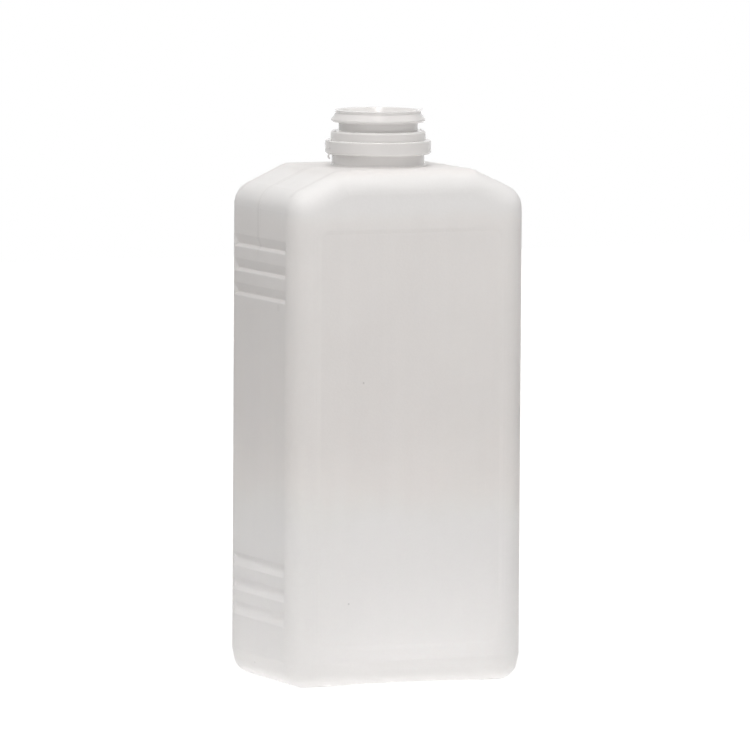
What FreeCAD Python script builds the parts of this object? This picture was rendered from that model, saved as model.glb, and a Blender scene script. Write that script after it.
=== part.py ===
import FreeCAD, Part
import math
import os

# Rectangular bottle with sloped shoulders and an open snap neck, blow moulded in one piece.
# Millimetres. X runs across the broad faces, Y through the depth, Z up from the standing plane.
# The mould halves part in the XZ plane, and a separate base insert shapes all below its line.

# Body
BODY_WIDTH = 76.0
BODY_DEPTH = 52.0
SHOULDER_HEIGHT = 153.75
SHOULDER_FLAT = 43.5
SHOULDER_SLOPE = 24.8
CORNER_RADIUS = 6.8
SHOULDER_EASE = 0.7
FLAT_BLEND = 7.5

# Walls
BODY_WALL = 0.95
BASE_WALL = 1.2

# Base
INSERT_HEIGHT = 7.8
INSERT_DRAFT = 11.5
FOOT_CORNER_RADIUS = 0.3
FOOT_LENGTH = 4.5
BROAD_ARCH_RISE = 0.75
NARROW_ARCH_RISE = 0.35
PUSH_UP_MARGIN = 3.0
PUSH_UP_HEIGHT = 3.0
PUSH_UP_SLOPE = 40.0
PUSH_UP_RADIUS = 4.0
PINCH_WIDTH = 0.8
PINCH_HEIGHT = 0.4

# Grip grooves on the narrow sides
GROOVE_DEPTH = 1.0
GROOVE_PITCH = 7.32
GROOVE_COUNT = 3
GROOVE_RUN_OUT = 0.6
GROOVE_END_RAMP = 1.2
GROOVE_EDGE_RADIUS = 0.6
UPPER_GROOVE_DROP = 16.1
UPPER_GROOVE_FLANKS = (2.8, 0.9)
UPPER_GROOVE_ROOT_RADIUS = 0.3
LOWER_GROOVE_RISE = 20.3
LOWER_GROOVE_FLANKS = (1.95, 1.95)
LOWER_GROOVE_ROOT_RADIUS = 1.8

# Label panels on the broad faces
PANEL_DEPTH = 0.12
PANEL_EDGE = 1.2
PANEL_SIDE_MARGIN = 7.9
PANEL_TOP_MARGIN = 17.25
PANEL_BOTTOM_MARGIN = 3.4
PANEL_RADIUS = 3.6

# Neck: the bore, the wall at the snap groove, and how far each ring stands out of that groove
NECK_HEIGHT = 16.65
BORE_RADIUS = 10.3
BORE_FLARE = 1.5
NECK_WALL = 1.55
RIM_WIDTH = 1.2
LIP_HEIGHT = 0.5
LIP_RELIEF = 0.2
RELIEF_HEIGHT = 0.5
BEAD_REACH = 2.3
BEAD_LEAD = 1.75
BEAD_BAND = 0.35
BEAD_UNDERCUT = 0.5
SNAP_GROOVE_HEIGHT = 2.6
UPPER_COLLAR_REACH = 2.4
UPPER_COLLAR_HEIGHT = 2.8
UPPER_COLLAR_EDGE = 0.5
LOWER_COLLAR_REACH = 4.0
LOWER_COLLAR_HEIGHT = 4.05
LOWER_COLLAR_TOP_EDGE = 0.2
LOWER_COLLAR_BOTTOM_EDGE = 0.45
NECK_ROOT_REACH = 2.0
NECK_ROOT_FLARE = 0.6

# Overlap of a cutting or joining tool past the face it starts from
TOOL_REACH = 2.0

# Offset mode that keeps corners sharp
JOIN_BY_INTERSECTION = 2

ORIGIN = FreeCAD.Vector(0, 0, 0)
X_AXIS = FreeCAD.Vector(1, 0, 0)
Y_AXIS = FreeCAD.Vector(0, 1, 0)
Z_AXIS = FreeCAD.Vector(0, 0, 1)


def closed_outline(corners, radii):
    """Closed wire through the corners, each rounded by its own radius (0 leaves it sharp)."""
    starts, ends, middles = [], [], []
    for index, corner in enumerate(corners):
        back = (corners[index - 1] - corner).normalize()
        ahead = (corners[(index + 1) % len(corners)] - corner).normalize()
        half_angle = back.getAngle(ahead) / 2
        radius = radii[index]
        reach = radius / math.tan(half_angle)
        inward = (back + ahead).normalize()
        starts.append(corner + back * reach)
        ends.append(corner + ahead * reach)
        middles.append(corner + inward * (radius / math.sin(half_angle) - radius))
    edges = []
    for index, radius in enumerate(radii):
        if radius > 0:
            edges.append(Part.Arc(starts[index], middles[index], ends[index]).toShape())
        following = starts[(index + 1) % len(corners)]
        edges.append(Part.LineSegment(ends[index], following).toShape())
    return Part.Wire(edges)


def rounded_form(profile, radii, half_length, half_width):
    """Solid with one section all round a rectangle: straight sides joined by turned corners.

    The profile gives how far the section reaches out of the rectangle at each height.
    """
    solids = []
    for along, across, half_run, half_span in (
        (Y_AXIS, X_AXIS, half_width, half_length),
        (X_AXIS, Y_AXIS, half_length, half_width),
    ):
        start = along * -half_run
        far = [start + across * (half_span + reach) + Z_AXIS * height for reach, height in profile]
        near = [start - across * (half_span + reach) + Z_AXIS * height for reach, height in profile]
        outline = closed_outline(far + near[::-1], radii + radii[::-1])
        solids.append(Part.Face(outline).extrude(along * (2 * half_run)))
    turned = revolved(profile, radii)
    for x in (-half_length, half_length):
        for y in (-half_width, half_width):
            solids.append(turned.translated(FreeCAD.Vector(x, y, 0)))
    return solids[0].fuse(solids[1:]).removeSplitter()


def revolved(profile, radii):
    """Solid of revolution about the Z axis, closed along the axis at its two ends."""
    rim = [FreeCAD.Vector(radius, 0, height) for radius, height in profile]
    first = FreeCAD.Vector(0, 0, profile[0][1])
    last = FreeCAD.Vector(0, 0, profile[-1][1])
    outline = closed_outline([first] + rim + [last], [0] + radii + [0])
    return Part.Face(outline).revolve(ORIGIN, Z_AXIS, 360)


def upper_body(skin):
    """Everything above the base insert's line: straight walls, sloped shoulders and the flat top."""
    slope = math.radians(SHOULDER_SLOPE)
    half_width = BODY_WIDTH / 2 - skin
    top = SHOULDER_HEIGHT - skin
    flat_end = SHOULDER_FLAT / 2 - skin * math.tan(slope / 2)
    shoulder = top - (half_width - flat_end) * math.tan(slope)
    half_outline = [(half_width, INSERT_HEIGHT), (half_width, shoulder), (flat_end, top)]
    half_radii = [0, CORNER_RADIUS + SHOULDER_EASE - skin, FLAT_BLEND - skin]
    front = skin - BODY_DEPTH / 2
    corners = [FreeCAD.Vector(x, front, z) for x, z in half_outline]
    corners += [FreeCAD.Vector(-x, front, z) for x, z in reversed(half_outline)]
    outline = closed_outline(corners, half_radii + half_radii[::-1])
    block = Part.Face(outline).extrude(Y_AXIS * (BODY_DEPTH - 2 * skin))
    return block.makeFillet(CORNER_RADIUS - skin, broad_face_edges(block, half_width))


def broad_face_edges(block, half_width):
    """Edges round the two broad faces, without the two along the base insert's line."""
    chosen = []
    for edge in block.Edges:
        box = edge.BoundBox
        runs_through_depth = box.YLength > BODY_WALL
        on_insert_line = box.ZMax < INSERT_HEIGHT + BODY_WALL and box.XLength > half_width
        if not runs_through_depth and not on_insert_line:
            chosen.append(edge)
    return chosen


def heel_radius(height):
    """Radius that rolls an insert wall of this height onto the standing plane at a foot's corner."""
    draft = math.radians(INSERT_DRAFT)
    reach = CORNER_RADIUS - FOOT_CORNER_RADIUS - height * math.tan(draft)
    return reach / (math.cos(draft) - (1 - math.sin(draft)) * math.tan(draft))


def base_insert(skin, floor):
    """Turned-under base: drafted walls from the insert's line down, and a rounded heel."""
    height = INSERT_HEIGHT - floor
    draw_in = height * math.tan(math.radians(INSERT_DRAFT))
    reach = CORNER_RADIUS - skin
    profile = [(reach - draw_in, floor), (reach, INSERT_HEIGHT)]
    half_length = BODY_WIDTH / 2 - CORNER_RADIUS
    half_width = BODY_DEPTH / 2 - CORNER_RADIUS
    return rounded_form(profile, [heel_radius(INSERT_HEIGHT) - floor, 0], half_length, half_width)


def standing_length(extent):
    """Length of the flat underside along an extent of the body, between its rounded heels."""
    return extent - 2 * (CORNER_RADIUS - FOOT_CORNER_RADIUS)


def arch(extent, rise, axis, reach):
    """Cylinder that lifts one pair of base edges off the standing plane between the corner feet."""
    chord = standing_length(extent) - 2 * FOOT_LENGTH
    radius = (chord ** 2 / 4 + rise ** 2) / (2 * rise)
    start = FreeCAD.Vector(0, 0, rise - radius) - axis * (reach / 2)
    return Part.makeCylinder(radius, reach, start, axis)


def push_up(skin):
    """Tapered recess in the middle of the underside."""
    height = PUSH_UP_HEIGHT + skin
    draw_in = height * math.tan(math.radians(PUSH_UP_SLOPE))
    mouth = PUSH_UP_RADIUS + skin
    profile = [(mouth, 0), (mouth - draw_in, height)]
    half_length = standing_length(BODY_WIDTH) / 2 - PUSH_UP_MARGIN - PUSH_UP_RADIUS
    half_width = standing_length(BODY_DEPTH) / 2 - PUSH_UP_MARGIN - PUSH_UP_RADIUS
    return rounded_form(profile, [0, 0], half_length, half_width)


def pinch_seam():
    """Welded pinch-off line under the base, along the parting plane."""
    length = standing_length(BODY_WIDTH) - 2 * PUSH_UP_MARGIN
    corner = FreeCAD.Vector(-length / 2, -PINCH_WIDTH / 2, PUSH_UP_HEIGHT - PINCH_HEIGHT)
    return Part.makeBox(length, PINCH_WIDTH, PINCH_HEIGHT + BASE_WALL / 2, corner)


def groove_prism(stations, radii, place, run, skin):
    """Prism of a groove's outline: its stations along the wall, and a way back outside the bottle."""
    outside = -BODY_WIDTH / 2 - TOOL_REACH
    first, last = stations[0][1], stations[-1][1]
    spread = GROOVE_EDGE_RADIUS * math.copysign(1, first - last)
    wall = -BODY_WIDTH / 2
    outline = [(outside, first + spread), (wall, first + spread)] + stations
    outline += [(wall, last - spread), (outside, last - spread)]
    corners = [place(x, station) for x, station in outline]
    face = Part.Face(closed_outline(corners, [0, 0] + radii + [0, 0]))
    if skin > 0:
        face = face.makeOffset2D(skin, JOIN_BY_INTERSECTION)
    return face.extrude(run)


def groove(height, flanks, root_radius, skin):
    """Cutter for one grip groove on the -X side, its root at the given height."""
    upper, lower = flanks
    wall = -BODY_WIDTH / 2
    root = wall + GROOVE_DEPTH
    half_length = BODY_DEPTH / 2 - CORNER_RADIUS + GROOVE_RUN_OUT
    ramp = half_length - GROOVE_END_RAMP
    section = [(wall, height + upper), (root, height), (wall, height - lower)]
    plan = [(wall, half_length), (root, ramp), (root, -ramp), (wall, -half_length)]
    edge = GROOVE_EDGE_RADIUS
    along = groove_prism(
        section,
        [edge, root_radius, edge],
        lambda x, z: FreeCAD.Vector(x, -BODY_DEPTH / 2, z),
        Y_AXIS * BODY_DEPTH,
        skin,
    )
    upright = groove_prism(
        plan,
        [edge] * len(plan),
        lambda x, y: FreeCAD.Vector(x, y, 0),
        Z_AXIS * SHOULDER_HEIGHT,
        skin,
    )
    return along.common(upright)


def grip_grooves(skin):
    """Upper and lower sets of grooves on both narrow sides."""
    slope = math.radians(SHOULDER_SLOPE)
    shoulder = SHOULDER_HEIGHT - (BODY_WIDTH - SHOULDER_FLAT) / 2 * math.tan(slope)
    upper_set = (shoulder - UPPER_GROOVE_DROP, -GROOVE_PITCH, UPPER_GROOVE_FLANKS, UPPER_GROOVE_ROOT_RADIUS)
    lower_set = (LOWER_GROOVE_RISE, GROOVE_PITCH, LOWER_GROOVE_FLANKS, LOWER_GROOVE_ROOT_RADIUS)
    cutters = []
    for first, pitch, flanks, root_radius in (upper_set, lower_set):
        for step in range(GROOVE_COUNT):
            cutters.append(groove(first + step * pitch, flanks, root_radius, skin))
    return cutters + [cutter.mirror(ORIGIN, X_AXIS) for cutter in cutters]


def label_panels(skin):
    """Shallow recess on each broad face, with soft tapered edges."""
    bottom = INSERT_HEIGHT + PANEL_BOTTOM_MARGIN
    top = SHOULDER_HEIGHT - PANEL_TOP_MARGIN
    half_length = (top - bottom) / 2 - PANEL_RADIUS
    half_width = BODY_WIDTH / 2 - PANEL_SIDE_MARGIN - PANEL_RADIUS
    profile = [
        (PANEL_RADIUS - PANEL_EDGE, -PANEL_DEPTH - skin),
        (PANEL_RADIUS, -skin),
        (PANEL_RADIUS, TOOL_REACH),
    ]
    panel = rounded_form(profile, [0] * len(profile), half_width, half_length)
    panel.rotate(ORIGIN, X_AXIS, 90)
    panel.translate(FreeCAD.Vector(0, -BODY_DEPTH / 2, (top + bottom) / 2))
    return [panel, panel.mirror(ORIGIN, Y_AXIS)]


def moulded_form(skin, floor):
    """Body without its neck, drawn in by skin all over and standing at floor."""
    form = upper_body(skin).fuse(base_insert(skin, floor))
    cutters = grip_grooves(skin) + label_panels(skin) + [push_up(floor)]
    return form.cut(cutters)


def neck():
    """Outside of the neck: lip, snap bead, snap groove, two collars and the root."""
    rim = SHOULDER_HEIGHT + NECK_HEIGHT
    lead_top = rim - LIP_HEIGHT - RELIEF_HEIGHT
    band_top = lead_top - BEAD_LEAD
    under_band = band_top - BEAD_BAND
    under_bead = under_band - BEAD_UNDERCUT
    upper_top = under_bead - SNAP_GROOVE_HEIGHT
    lower_top = upper_top - UPPER_COLLAR_HEIGHT
    root_top = lower_top - LOWER_COLLAR_HEIGHT
    lip = BORE_RADIUS + BORE_FLARE + RIM_WIDTH
    groove_radius = BORE_RADIUS + NECK_WALL
    bead = groove_radius + BEAD_REACH
    upper = groove_radius + UPPER_COLLAR_REACH
    lower = groove_radius + LOWER_COLLAR_REACH
    root = groove_radius + NECK_ROOT_REACH
    foot = root + NECK_ROOT_FLARE
    profile = [
        (foot, SHOULDER_HEIGHT - BODY_WALL / 2),
        (foot, SHOULDER_HEIGHT),
        (root, SHOULDER_HEIGHT + NECK_ROOT_FLARE),
        (root, root_top),
        (lower - LOWER_COLLAR_BOTTOM_EDGE, root_top),
        (lower, root_top + LOWER_COLLAR_BOTTOM_EDGE),
        (lower, lower_top - LOWER_COLLAR_TOP_EDGE),
        (lower - LOWER_COLLAR_TOP_EDGE, lower_top),
        (upper, lower_top),
        (upper, upper_top - UPPER_COLLAR_EDGE),
        (upper - UPPER_COLLAR_EDGE, upper_top),
        (groove_radius, upper_top),
        (groove_radius, under_bead),
        (bead - BEAD_UNDERCUT, under_bead),
        (bead, under_band),
        (bead, band_top),
        (lip - LIP_RELIEF, lead_top),
        (lip - LIP_RELIEF, rim - LIP_HEIGHT),
        (lip, rim),
    ]
    return revolved(profile, [0] * len(profile))


def bore():
    """Way through the neck into the cavity, flared at the mouth and where it meets the shoulder's inside."""
    ceiling = SHOULDER_HEIGHT - BODY_WALL
    rim = SHOULDER_HEIGHT + NECK_HEIGHT
    flared = BORE_RADIUS + BORE_FLARE
    profile = [
        (flared, ceiling - TOOL_REACH),
        (flared, ceiling),
        (BORE_RADIUS, ceiling + BORE_FLARE),
        (BORE_RADIUS, rim - BORE_FLARE),
        (flared, rim),
        (flared, rim + TOOL_REACH),
    ]
    return revolved(profile, [0] * len(profile))


def bottle():
    """Outer form and neck, with the cavity and bore taken out and the base arched between its feet."""
    shell = moulded_form(0, 0).fuse(neck()).cut(moulded_form(BODY_WALL, BASE_WALL)).cut(bore())
    arches = [
        arch(BODY_WIDTH, BROAD_ARCH_RISE, Y_AXIS, BODY_DEPTH),
        arch(BODY_DEPTH, NARROW_ARCH_RISE, X_AXIS, BODY_WIDTH),
    ]
    return shell.cut(arches).fuse(pinch_seam()).removeSplitter()


os.makedirs("parts", exist_ok=True)
bottle().exportStep("parts/bottle.step")
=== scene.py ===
import math

import bmesh
import bpy
from mathutils import Matrix, Vector


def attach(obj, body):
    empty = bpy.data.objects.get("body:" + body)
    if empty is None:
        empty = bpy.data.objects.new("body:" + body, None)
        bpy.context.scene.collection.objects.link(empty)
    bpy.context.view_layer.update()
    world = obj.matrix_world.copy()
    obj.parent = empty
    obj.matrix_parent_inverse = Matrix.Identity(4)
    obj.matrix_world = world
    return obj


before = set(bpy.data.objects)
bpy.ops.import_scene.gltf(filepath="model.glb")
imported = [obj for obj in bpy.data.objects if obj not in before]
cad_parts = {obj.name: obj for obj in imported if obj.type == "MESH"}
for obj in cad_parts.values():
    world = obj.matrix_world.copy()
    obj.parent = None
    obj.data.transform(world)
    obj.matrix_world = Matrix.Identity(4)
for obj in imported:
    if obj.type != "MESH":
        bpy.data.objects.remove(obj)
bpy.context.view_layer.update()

MM = 0.001

# View of the bottle: a long lens, 23 degrees round to the left and a little above the middle
VIEW_AZIMUTH = math.radians(-22.99)
VIEW_ELEVATION = math.radians(5.514)
VIEW_ROLL = math.radians(0.34)
VIEW_DISTANCE = 2.858
VIEW_TARGET_HEIGHT = 0.07497
AIM_RAISE = 0.01569
AIM_SIDE = -0.00052
SENSOR_WIDTH = 36.0
LENS = 457.5
CLIP_NEAR = 0.1
CLIP_FAR = 20.0

# Floor and surroundings. The floor is part grey, which keeps the shadow, and part plain white. The
# white part is FLOOR_LIFT of it within SHADOW_REACH of the bottle, and all of it at twice that.
FLOOR_SIZE = 3.0
FLOOR_GREY = 0.6
FLOOR_WHITE = (1.18, 1.16, 1.15, 1)
FLOOR_LIFT = 0.85
SHADOW_REACH = 0.12
ROOM_LIGHT = 0.0

# Soft boxes: name, place, point it is turned to, width and depth, watts
LAMP_TINT = (1.0, 0.978, 0.962)
SOFT_BOXES = (
    ("ceiling", (0, 0, 0.8), (0, 0, 0), (1.6, 1.6), 4.6),
    ("top_box", (0, 0, 1.0), (0, 0, 0), (0.15, 0.15), 0.6),
    ("key_box", (-0.143, -0.337, 0.987), (0, 0, 0.165), (0.35, 0.10), 1.2),
    ("left_box", (-0.574, 0, 0.87), (0, 0, 0.05), (0.5, 0.5), 1.15),
    ("left_low_box", (-0.612, -0.612, 0.55), (0, 0, 0.05), (0.5, 0.5), 1.75),
    ("right_box", (0.612, -0.612, 0.55), (0, 0, 0.05), (0.5, 0.5), 1.2),
    ("right_side_box", (0.574, 0, 0.87), (0, 0, 0.05), (0.5, 0.5), 0.5),
    # Inside the bottle, just over its base, in place of what a pale table sends up through the base
    ("light_through_base", (0, 0, 0.0046), (0, 0, 1), (0.064, 0.040), 0.096),
)
# Light that the table top sends upwards: name, span across, span in depth, watts
GLOW_HEIGHT = 0.00005
TABLE_GLOWS = (
    ("table_glow", (-0.25, 0.25), (-0.35, 0.25), 0.13),
    ("front_glow", (-0.4, 0.4), (-0.9, -0.3), 2.25),
    ("foot_glow", (-0.046, 0.046), (-0.036, 0.036), 0.008),
)

# Plastic
PLASTIC_COLOUR = (0.89, 0.878, 0.870)
SCATTER_DEPTH = 0.0005
# Bands of the wall: height where the change starts, height where it ends, value below, value above
# Painted light: the colour turns whiter over the top, for light that comes in from above
TOP_PAINTED_LIGHT = (0.134, 0.1475, 1.0, 1.095)
# The neck loses most of that painted light again
NECK_RETURN = (0.150, 0.1545, 1.0, 0.89)
# Painted light: the colour turns whiter towards the base, for light that the pale table sends up
BASE_PAINTED_LIGHT = (0.010, 0.085, 1.12, 1.0)
NECK_GLOSS = (0.1535, 0.1545, 0.55, 0.15)
NECK_SMOOTHING = (0.148, 0.1535, 1.0, 0.03)
# Upright flow streaks, clouds and grain: how fine each is, its detail, and how far it moves the tone
FLOW_STRETCH = (1.0, 1.0, 0.08)
FLOW_SCALE, FLOW_DETAIL, FLOW_AMOUNT = 160.0, 3.0, 0.006
CLOUD_SCALE, CLOUD_DETAIL, CLOUD_AMOUNT = 45.0, 3.0, 0.007
GRAIN_SCALE, GRAIN_DETAIL, GRAIN_AMOUNT = 1400.0, 2.0, 0.005
# Span that most of a noise lies in
NOISE_SPAN = (0.3, 0.7)
GLOSS_AMOUNT = 0.12
RELIEF_STRENGTH = 0.25
RELIEF_DEPTH = 0.00008
# Specks and small bubbles in the wall: place, radius, tone. SPECK_CORE is the even part of the radius
SPECK_CORE = 0.5
SPECKS = (
    ((-0.0152, -0.0259, 0.0910), 0.0004, 0.8),
    ((-0.0196, -0.0259, 0.0252), 0.0004, 0.8),
    ((-0.0372, 0.0038, 0.0052), 0.0005, 0.75),
    ((-0.0380, -0.0145, 0.1130), 0.0014, 0.96),
)
# Painted shade in the creases where the sloped shoulders run into the front and back roundings
CREASE_SHADE_DEPTH = 0.0192
CREASE_SHADE_WIDTH = 0.0018
CREASE_SHADE_TONE = 0.93
CREASE_SHADE_SPAN = (0.0195, 0.0235)
CREASE_SHADE_FOOT = (0.1455, 0.1465)
# Soft upright streak beside the parting line, on the narrow side at the left
STREAK_PLACE = 0.0016
STREAK_WIDTH = 0.0014
STREAK_TONE = 0.94
STREAK_SPAN = (0.126, 0.131)
STREAK_SIDE = (-0.022, -0.024)

# Shoulder outline along the parting plane, as the solid has it
SIDE_REACH = 38.0 * MM
CORNER_HEIGHT = 146.24 * MM
FLAT_REACH = 21.75 * MM
FLAT_HEIGHT = 153.75 * MM
SHOULDER_BEND = 7.5 * MM
NECK_FOOT = 14.2 * MM

# Moulding flash
RIDGE_START = 136.0 * MM
RIDGE_HEIGHT = 0.06 * MM
RIDGE_WIDTH = 0.3 * MM
RIDGE_SIDES = 8
BEND_STEPS = 12
FLASH_SIDES = 10
FLASH_THINNESS = 0.25
FLASH_TAPER = 0.25
# Each tip: reach from the axis, height, length, half rise, lean upwards
FLASH_TIPS = (
    (-13.3 * MM, 170.1 * MM, 1.4 * MM, 0.3 * MM, 0.1),
    (13.5 * MM, 170.15 * MM, 1.9 * MM, 0.25 * MM, 0.2),
    (-13.9 * MM, 164.3 * MM, 0.8 * MM, 0.35 * MM, 1.2),
    (13.8 * MM, 164.2 * MM, 0.6 * MM, 0.3 * MM, 1.3),
    (-15.8 * MM, 161.3 * MM, 0.7 * MM, 0.4 * MM, 1.0),
    (15.8 * MM, 161.2 * MM, 0.5 * MM, 0.3 * MM, 0.9),
    (-16.0 * MM, 159.1 * MM, 0.8 * MM, 0.35 * MM, 0.0),
)
CURL_PLACE = (-15.4 * MM, 156.8 * MM)
CURL_RADIUS = 0.75 * MM
CURL_THICKNESS = 0.22 * MM
CURL_FLATNESS = 1.6
CURL_TURN = math.radians(250)


# ---------------------------------------------------------------- small helpers

def add_node(tree, kind, place=(0, 0), **settings):
    """New node with its settings, at a place in the tree."""
    node = tree.nodes.new(kind)
    node.location = place
    for name, value in settings.items():
        setattr(node, name, value)
    return node


def new_material(name):
    """Material with an empty node tree and its output."""
    material = bpy.data.materials.new(name)
    material.use_nodes = True
    tree = material.node_tree
    tree.nodes.clear()
    output = add_node(tree, "ShaderNodeOutputMaterial", (600, 0))
    return material, tree, output


# ---------------------------------------------------------------- camera

def aim_camera():
    """Camera at the viewing angle, level but for a slight roll."""
    back = Vector((
        math.sin(VIEW_AZIMUTH) * math.cos(VIEW_ELEVATION),
        -math.cos(VIEW_AZIMUTH) * math.cos(VIEW_ELEVATION),
        math.sin(VIEW_ELEVATION),
    ))
    right = Vector((math.cos(VIEW_AZIMUTH), math.sin(VIEW_AZIMUTH), 0))
    up = back.cross(right)
    place = Vector((0, 0, VIEW_TARGET_HEIGHT)) + back * VIEW_DISTANCE
    aim = Vector((0, 0, VIEW_TARGET_HEIGHT)) + up * AIM_RAISE + right * AIM_SIDE
    backward = (place - aim).normalized()
    right = up.cross(backward).normalized()
    up = backward.cross(right)
    turn = Matrix((right, up, backward)).transposed()
    data = bpy.data.cameras.new("camera")
    data.sensor_width = SENSOR_WIDTH
    data.lens = LENS
    data.clip_start = CLIP_NEAR
    data.clip_end = CLIP_FAR
    camera = bpy.data.objects.new("camera", data)
    camera.matrix_world = Matrix.Translation(place) @ (turn @ Matrix.Rotation(VIEW_ROLL, 3, "Z")).to_4x4()
    bpy.context.scene.collection.objects.link(camera)
    bpy.context.scene.camera = camera


aim_camera()


# ---------------------------------------------------------------- plastic

def noise(tree, vector, scale, detail, place):
    """Noise between 0 and 1, centred on a half."""
    node = add_node(tree, "ShaderNodeTexNoise", place)
    node.inputs["Scale"].default_value = scale
    node.inputs["Detail"].default_value = detail
    tree.links.new(vector, node.inputs["Vector"])
    return node.outputs["Fac"]


def stretched(tree, vector, stretch, place):
    """Coordinates squeezed along each axis, so that a pattern is drawn out there."""
    node = add_node(tree, "ShaderNodeVectorMath", place, operation="MULTIPLY")
    tree.links.new(vector, node.inputs[0])
    node.inputs[1].default_value = stretch
    return node.outputs[0]


def calculate(tree, operation, first, second, place):
    """Sum, product or the like of two values, each a socket or a number."""
    node = add_node(tree, "ShaderNodeMath", place, operation=operation)
    for socket, value in zip(node.inputs, (first, second)):
        if isinstance(value, (int, float)):
            socket.default_value = value
        else:
            tree.links.new(value, socket)
    return node.outputs[0]


def ranged(tree, value, start, end, low, high, place, easing="SMOOTHSTEP"):
    """Factor that goes from low to high as the value goes from start to end."""
    node = add_node(tree, "ShaderNodeMapRange", place, interpolation_type=easing)
    node.inputs["From Min"].default_value = start
    node.inputs["From Max"].default_value = end
    node.inputs["To Min"].default_value = low
    node.inputs["To Max"].default_value = high
    tree.links.new(value, node.inputs["Value"])
    return node.outputs["Result"]


def around_one(tree, value, amount, place):
    """Factor that swings about one by an amount each way, as a noise does about a half."""
    return ranged(tree, value, *NOISE_SPAN, 1 - amount, 1 + amount, place)


def spot(tree, vector, middle, radius, tone, place):
    """Factor that dips to a tone inside one round spot."""
    distance = add_node(tree, "ShaderNodeVectorMath", place, operation="DISTANCE")
    tree.links.new(vector, distance.inputs[0])
    distance.inputs[1].default_value = middle
    place = (place[0] + 180, place[1])
    return ranged(tree, distance.outputs["Value"], SPECK_CORE * radius, radius, tone, 1.0, place)


def faint_line(tree, value, middle, width, tone, mask, place):
    """Factor that dips to a tone where a value is near its middle, as far as the mask lets it."""
    offset = calculate(tree, "SUBTRACT", value, middle, place)
    near = calculate(tree, "ABSOLUTE", offset, 0.0, (place[0] + 180, place[1]))
    dip = ranged(tree, near, 0.0, width, 1 - tone, 0.0, (place[0] + 360, place[1]))
    dip = calculate(tree, "MULTIPLY", dip, mask, (place[0] + 540, place[1]))
    return calculate(tree, "SUBTRACT", 1.0, dip, (place[0] + 720, place[1]))


def shoulder_lines(tree, across, along, height):
    """Painted shade along the creases of both shoulders, and the streak beside the parting line."""
    reach = calculate(tree, "ABSOLUTE", across, 0.0, (-1300, 900))
    depth = calculate(tree, "ABSOLUTE", along, 0.0, (-1300, 1100))
    sloped = ranged(tree, reach, *CREASE_SHADE_SPAN, 0.0, 1.0, (-1100, 900))
    above = ranged(tree, height, *CREASE_SHADE_FOOT, 0.0, 1.0, (-1100, 1100))
    mask = calculate(tree, "MULTIPLY", sloped, above, (-900, 1000))
    # Painted shade along the shoulder creases
    painted_crease_shade = faint_line(tree, depth, CREASE_SHADE_DEPTH, CREASE_SHADE_WIDTH, CREASE_SHADE_TONE, mask, (-900, 1200))
    upper = ranged(tree, height, *STREAK_SPAN, 0.0, 1.0, (-1100, 1400))
    left = ranged(tree, across, *STREAK_SIDE, 0.0, 1.0, (-1100, 1600))
    mask = calculate(tree, "MULTIPLY", upper, left, (-900, 1500))
    streak = faint_line(tree, along, STREAK_PLACE, STREAK_WIDTH, STREAK_TONE, mask, (-900, 1700))
    return calculate(tree, "MULTIPLY", painted_crease_shade, streak, (0, 1400))


def wall_tone_and_painted_light(tree, vector, height):
    """Painted light by height, whiter at the top and base, with flow streaks, clouds, a grain and a few
    specks.
    """
    # Painted light over the top, partly taken back on the neck
    tone = ranged(tree, height, *TOP_PAINTED_LIGHT, (-900, 500))
    neck = ranged(tree, height, *NECK_RETURN, (-900, 300))
    tone = calculate(tree, "MULTIPLY", tone, neck, (-700, 500))
    # Painted light near the base
    base = ranged(tree, height, *BASE_PAINTED_LIGHT, (-900, 100))
    tone = calculate(tree, "MULTIPLY", tone, base, (-500, 500))
    drawn_out = stretched(tree, vector, FLOW_STRETCH, (-1300, -100))
    flow = noise(tree, drawn_out, FLOW_SCALE, FLOW_DETAIL, (-1100, -100))
    cloud = noise(tree, vector, CLOUD_SCALE, CLOUD_DETAIL, (-1100, -300))
    grain = noise(tree, vector, GRAIN_SCALE, GRAIN_DETAIL, (-1100, -500))
    patterns = ((flow, FLOW_AMOUNT), (cloud, CLOUD_AMOUNT), (grain, GRAIN_AMOUNT))
    for row, (value, amount) in enumerate(patterns):
        factor = around_one(tree, value, amount, (-900, -100 - 200 * row))
        tone = calculate(tree, "MULTIPLY", tone, factor, (-300, 300 - 200 * row))
    for row, (middle, radius, darkness) in enumerate(SPECKS):
        factor = spot(tree, vector, middle, radius, darkness, (-1100, -700 - 200 * row))
        tone = calculate(tree, "MULTIPLY", tone, factor, (-300, -500 - 200 * row))
    return tone, grain, flow


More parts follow.
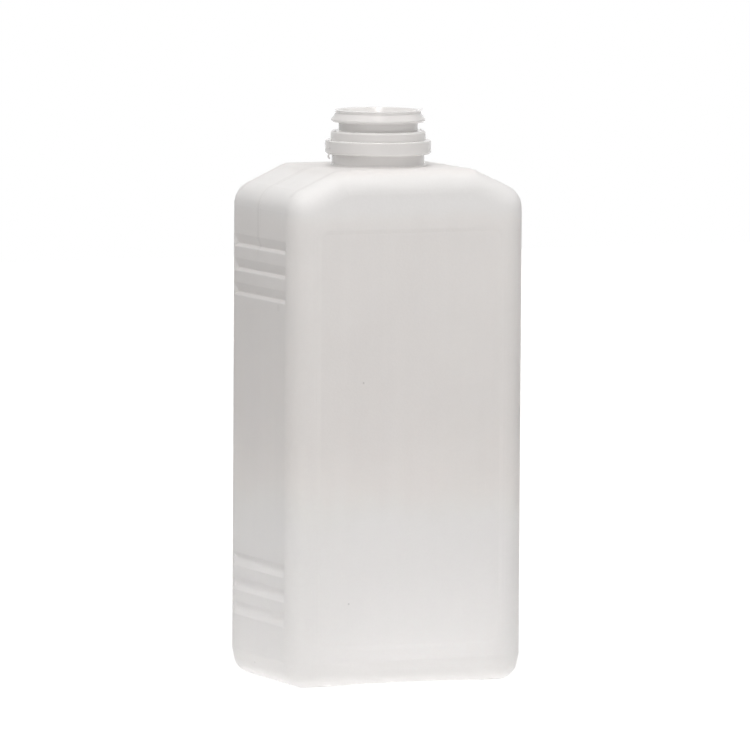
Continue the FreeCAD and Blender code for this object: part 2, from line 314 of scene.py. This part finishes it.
def natural_plastic(name, milkiness):
    """Uncoloured polyethylene, satin on the body and glossier on the neck, with painted light and
    shade in its colour; milkiness is how much of the light spreads inside the wall."""
    material, tree, output = new_material(name)
    shader = add_node(tree, "ShaderNodeBsdfPrincipled", (300, 0))
    shader.inputs["Subsurface Weight"].default_value = milkiness
    shader.inputs["Subsurface Radius"].default_value = (1.0, 1.0, 1.0)
    shader.inputs["Subsurface Scale"].default_value = SCATTER_DEPTH
    coordinates = add_node(tree, "ShaderNodeTexCoord", (-1700, 0))
    vector = coordinates.outputs["Object"]
    separate = add_node(tree, "ShaderNodeSeparateXYZ", (-1500, 300))
    tree.links.new(vector, separate.inputs[0])
    height = separate.outputs["Z"]
    tone, grain, flow = wall_tone_and_painted_light(tree, vector, height)
    lines = shoulder_lines(tree, separate.outputs["X"], separate.outputs["Y"], height)
    tone = calculate(tree, "MULTIPLY", tone, lines, (-150, 500))
    colour = add_node(tree, "ShaderNodeVectorMath", (0, 200), operation="SCALE")
    colour.inputs[0].default_value = PLASTIC_COLOUR
    tree.links.new(tone, colour.inputs["Scale"])
    tree.links.new(colour.outputs[0], shader.inputs["Base Color"])
    roughness = ranged(tree, height, *NECK_GLOSS, (-200, -200))
    variation = around_one(tree, grain, GLOSS_AMOUNT, (-200, -400))
    roughness = calculate(tree, "MULTIPLY", roughness, variation, (0, -200))
    tree.links.new(roughness, shader.inputs["Roughness"])
    relief = add_node(tree, "ShaderNodeBump", (0, -500))
    relief.inputs["Strength"].default_value = RELIEF_STRENGTH
    relief.inputs["Distance"].default_value = RELIEF_DEPTH
    bumps = calculate(tree, "ADD", grain, flow, (-400, -600))
    smoothing = ranged(tree, height, *NECK_SMOOTHING, (-400, -800))
    bumps = calculate(tree, "MULTIPLY", bumps, smoothing, (-200, -600))
    tree.links.new(bumps, relief.inputs["Height"])
    tree.links.new(relief.outputs["Normal"], shader.inputs["Normal"])
    tree.links.new(shader.outputs["BSDF"], output.inputs["Surface"])
    return material


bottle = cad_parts["bottle"]
bottle.material_slots[0].material = natural_plastic("natural_plastic", 1.0)


# ---------------------------------------------------------------- moulding flash

def finished(shape, name, material):
    """Piece from a bmesh in metres, riding on the bottle and made of its kind of plastic."""
    bmesh.ops.recalc_face_normals(shape, faces=shape.faces)
    mesh = bpy.data.meshes.new(name)
    shape.to_mesh(mesh)
    shape.free()
    mesh.materials.append(material)
    piece = bpy.data.objects.new(name, mesh)
    bpy.context.scene.collection.objects.link(piece)
    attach(piece, "root")


def end_face(geometry):
    """The one face among the things an operator hands back."""
    return next(item for item in geometry if isinstance(item, bmesh.types.BMFace))


def run_on(shape, face, offset):
    """Draws the end face out by an offset."""
    region = [face, *face.edges, *face.verts]
    drawn = bmesh.ops.extrude_face_region(shape, geom=region)["geom"]
    corners = [item for item in drawn if isinstance(item, bmesh.types.BMVert)]
    bmesh.ops.translate(shape, vec=offset, verts=corners)
    return end_face(drawn)


def bend_on(shape, face, middle, angle):
    """Draws the end face round a middle, in the upright plane of the mould's parting."""
    region = [face, *face.edges, *face.verts]
    turned = bmesh.ops.spin(
        shape, geom=region, cent=middle, axis=(0, -1, 0), angle=angle, steps=BEND_STEPS, use_merge=False
    )
    return end_face(turned["geom_last"])


def parting_ridge(material):
    """Fine ridge where the mould halves meet, over both shoulders to the foot of the neck."""
    slope = math.atan2(FLAT_HEIGHT - CORNER_HEIGHT, SIDE_REACH - FLAT_REACH)
    steep = math.pi / 2 - slope
    corner_run = SHOULDER_BEND * math.tan(steep / 2)
    flat_run = SHOULDER_BEND * math.tan(slope / 2)
    length = math.hypot(FLAT_HEIGHT - CORNER_HEIGHT, SIDE_REACH - FLAT_REACH) - corner_run - flat_run
    bend_height = CORNER_HEIGHT - corner_run
    shape = bmesh.new()
    oval = Matrix.Diagonal((RIDGE_HEIGHT, RIDGE_WIDTH, 1, 1))
    place = Matrix.Translation((SIDE_REACH, 0, RIDGE_START)) @ oval
    bmesh.ops.create_circle(shape, cap_ends=True, radius=1, segments=RIDGE_SIDES, matrix=place)
    face = run_on(shape, next(iter(shape.faces)), (0, 0, bend_height - RIDGE_START))
    face = bend_on(shape, face, (SIDE_REACH - SHOULDER_BEND, 0, bend_height), steep)
    face = run_on(shape, face, (-length * math.cos(slope), 0, length * math.sin(slope)))
    face = bend_on(shape, face, (FLAT_REACH - flat_run, 0, FLAT_HEIGHT - SHOULDER_BEND), slope)
    run_on(shape, face, (NECK_FOOT - FLAT_REACH + flat_run, 0, 0))
    copied = bmesh.ops.duplicate(shape, geom=[*shape.verts, *shape.edges, *shape.faces])["geom"]
    corners = [item for item in copied if isinstance(item, bmesh.types.BMVert)]
    bmesh.ops.scale(shape, vec=(-1, 1, 1), verts=corners)
    finished(shape, "parting_ridge", material)


def neck_flash(material):
    """Thin tips of flash left on the neck's rings where the mould halves met."""
    shape = bmesh.new()
    thin = Matrix.Diagonal((1, FLASH_THINNESS, 1, 1))
    for reach, height, length, rise, lean in FLASH_TIPS:
        turn = Matrix.Rotation(math.copysign(1, reach) * (math.pi / 2 - lean), 4, "Y")
        bmesh.ops.create_cone(
            shape, cap_ends=True, segments=FLASH_SIDES, radius1=rise, radius2=FLASH_TAPER * rise,
            depth=length, matrix=Matrix.Translation((reach, 0, height)) @ turn @ thin,
        )
    finished(shape, "neck_flash", material)


def flash_curl(material):
    """Curled thread of flash under the larger ring."""
    shape = bmesh.new()
    reach, height = CURL_PLACE
    flat = Matrix.Diagonal((1, CURL_FLATNESS, 1, 1))
    place = Matrix.Translation((reach + CURL_RADIUS, 0, height)) @ flat
    bmesh.ops.create_circle(shape, cap_ends=True, radius=CURL_THICKNESS, segments=FLASH_SIDES, matrix=place)
    bend_on(shape, next(iter(shape.faces)), (reach, 0, height), CURL_TURN)
    finished(shape, "flash_curl", material)


# Flash is too thin for light to spread inside it
thin_plastic = natural_plastic("thin_plastic", 0.0)
parting_ridge(thin_plastic)
neck_flash(thin_plastic)
flash_curl(thin_plastic)


# ---------------------------------------------------------------- floor and light

def being_looked_at(tree):
    """One for rays from the camera, a gloss or a clear part, zero for light that spreads."""
    path = add_node(tree, "ShaderNodeLightPath", (-400, 400)).outputs
    looks = calculate(tree, "MAXIMUM", path["Is Camera Ray"], path["Is Glossy Ray"], (-200, 400))
    return calculate(tree, "MAXIMUM", looks, path["Is Transmission Ray"], (0, 400))


def white_floor():
    """Level pale floor that shows as plain white and keeps the bottle's shadow near it."""
    mesh = bpy.data.meshes.new("floor")
    shape = bmesh.new()
    bmesh.ops.create_grid(shape, x_segments=1, y_segments=1, size=FLOOR_SIZE / 2)
    shape.to_mesh(mesh)
    shape.free()
    floor = bpy.data.objects.new("floor", mesh)
    bpy.context.scene.collection.objects.link(floor)
    material, tree, output = new_material("floor_white")
    diffuse = add_node(tree, "ShaderNodeBsdfDiffuse", (0, 0))
    diffuse.inputs["Color"].default_value = (FLOOR_GREY, FLOOR_GREY, FLOOR_GREY, 1)
    coordinates = add_node(tree, "ShaderNodeTexCoord", (-600, 200))
    distance = add_node(tree, "ShaderNodeVectorMath", (-400, 200), operation="LENGTH")
    tree.links.new(coordinates.outputs["Object"], distance.inputs[0])
    away = distance.outputs["Value"]
    lift = ranged(tree, away, SHADOW_REACH, 2 * SHADOW_REACH, FLOOR_LIFT, 1.0, (-200, 200), "LINEAR")
    amount = calculate(tree, "MULTIPLY", being_looked_at(tree), lift, (200, 300))
    white = add_node(tree, "ShaderNodeEmission", (0, -200))
    white.inputs["Color"].default_value = FLOOR_WHITE
    mix = add_node(tree, "ShaderNodeMixShader", (400, 0))
    tree.links.new(amount, mix.inputs["Fac"])
    tree.links.new(diffuse.outputs[0], mix.inputs[1])
    tree.links.new(white.outputs[0], mix.inputs[2])
    tree.links.new(mix.outputs[0], output.inputs["Surface"])
    mesh.materials.append(material)


def white_world():
    """White surroundings where they are looked at, and dark to the light that spreads."""
    world = bpy.data.worlds.new("world")
    bpy.context.scene.world = world
    world.use_nodes = True
    tree = world.node_tree
    tree.nodes.clear()
    output = add_node(tree, "ShaderNodeOutputWorld", (600, 0))
    light = add_node(tree, "ShaderNodeBackground", (200, 100))
    light.inputs["Color"].default_value = (1, 1, 1, 1)
    light.inputs["Strength"].default_value = ROOM_LIGHT
    white = add_node(tree, "ShaderNodeBackground", (200, -100))
    white.inputs["Color"].default_value = (1, 1, 1, 1)
    mix = add_node(tree, "ShaderNodeMixShader", (400, 0))
    tree.links.new(being_looked_at(tree), mix.inputs["Fac"])
    tree.links.new(light.outputs[0], mix.inputs[1])
    tree.links.new(white.outputs[0], mix.inputs[2])
    tree.links.new(mix.outputs[0], output.inputs["Surface"])


def area_lamp(name, place, target, size, power):
    """Soft box at a place, turned to a target."""
    data = bpy.data.lights.new(name, "AREA")
    data.shape = "RECTANGLE"
    data.size, data.size_y = size
    data.energy = power
    data.color = LAMP_TINT
    lamp = bpy.data.objects.new(name, data)
    turn = (Vector(target) - Vector(place)).to_track_quat("-Z", "Y").to_matrix().to_4x4()
    lamp.matrix_world = Matrix.Translation(place) @ turn
    lamp.visible_camera = False
    bpy.context.scene.collection.objects.link(lamp)


def table_glow(name, across, along, power):
    """Light going up from a level rectangle just above the floor."""
    middle = (sum(across) / 2, sum(along) / 2, GLOW_HEIGHT)
    size = (across[1] - across[0], along[1] - along[0])
    area_lamp(name, middle, (middle[0], middle[1], 1), size, power)


white_floor()
white_world()
for box in SOFT_BOXES:
    area_lamp(*box)
for glow in TABLE_GLOWS:
    table_glow(*glow)

bpy.context.scene.view_settings.view_transform = "Standard"
